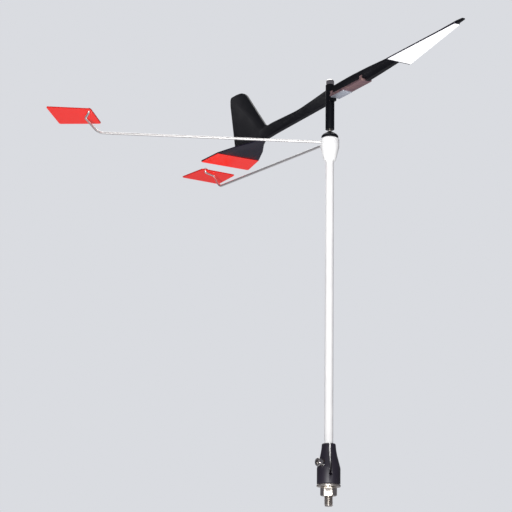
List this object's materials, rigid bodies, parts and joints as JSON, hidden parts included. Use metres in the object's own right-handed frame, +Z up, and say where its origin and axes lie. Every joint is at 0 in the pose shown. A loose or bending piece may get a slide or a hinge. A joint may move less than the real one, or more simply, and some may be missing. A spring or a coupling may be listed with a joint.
{
  "type": "masthead wind indicator",
  "caption": "Masthead wind indicator: a balanced vane on a needle bearing over a pole, with red reference tabs on rod arms and a threaded foot.",
  "frame": {"origin": "on the pole's axis, in the face of the socket that seats on the mast's top plate", "axes": "+Z up along the pole, +X towards the bow, halfway between the two arms' opposites, +Y to port"},
  "size_m": [0.5606, 0.3504, 0.5742],
  "materials": {
    "black_nylon": "black ultraviolet-stable nylon, satin as moulded",
    "black_sheet": "black plastic sheet, satin",
    "white_gelcoat": "white pigmented fibreglass tube, glossy",
    "white_moulding": "white moulded plastic, glossy",
    "red_plastic": "red moulded plastic, semi-gloss",
    "red_reflective_film": "red retroreflective film with a honeycomb pattern",
    "white_reflective_film": "white retroreflective film with a honeycomb pattern",
    "stainless": "stainless steel, drawn or rolled, bright",
    "brass": "turned brass",
    "acetal": "natural acetal, turned",
    "jewel": "polished synthetic ruby",
    "grey_plug": "grey moulded plastic",
    "dull_steel": "dull brownish steel"
  },
  "bodies": {
    "base": {"mast_socket": "black_nylon", "mount_stud": "stainless", "flat_washer": "stainless", "clamp_insert": "brass"},
    "nut": {"hex_nut": "stainless"},
    "screw": {"clamp_screw": "stainless"},
    "mast": {"pole_tube": "white_gelcoat", "pole_foot_plug": "grey_plug", "arm_hub": "white_moulding", "hub_skirt": "black_nylon", "spindle": "stainless", "starboard_arm": "stainless", "port_arm": "stainless", "starboard_tab": "red_plastic", "port_tab": "red_plastic", "starboard_tab_film": "red_reflective_film", "port_tab_film": "red_reflective_film", "starboard_tab_clip": "stainless", "port_tab_clip": "stainless"},
    "vane": {"vane_body": "black_nylon", "guide_bush": "acetal", "jewel_holder": "brass", "bearing_jewel": "jewel", "bearing_cap": "stainless", "tail_plate": "black_sheet", "tail_film": "red_reflective_film", "nose_plate": "black_sheet", "nose_film": "white_reflective_film", "balance_weight": "dull_steel", "trim_plate": "stainless"}
  },
  "joints": [
    {"name": "mast_turn", "type": "hinge", "parent": "base", "child": "mast", "pos_m": [0, 0, 0.03], "axis": [0, 0, 1], "continuous": true},
    {"name": "vane_spin", "type": "hinge", "parent": "mast", "child": "vane", "pos_m": [0, 0, 0.468], "axis": [0, 0, 1], "continuous": true},
    {"name": "nut_turn", "type": "hinge", "parent": "base", "child": "nut", "pos_m": [0, 0, -0.008], "axis": [0, 0, 1], "continuous": true},
    {"name": "clamp_screw_turn", "type": "hinge", "parent": "base", "child": "screw", "pos_m": [0, 0, 0.0234], "axis": [-0.2419, -0.9703, 0], "continuous": true}
  ]
}
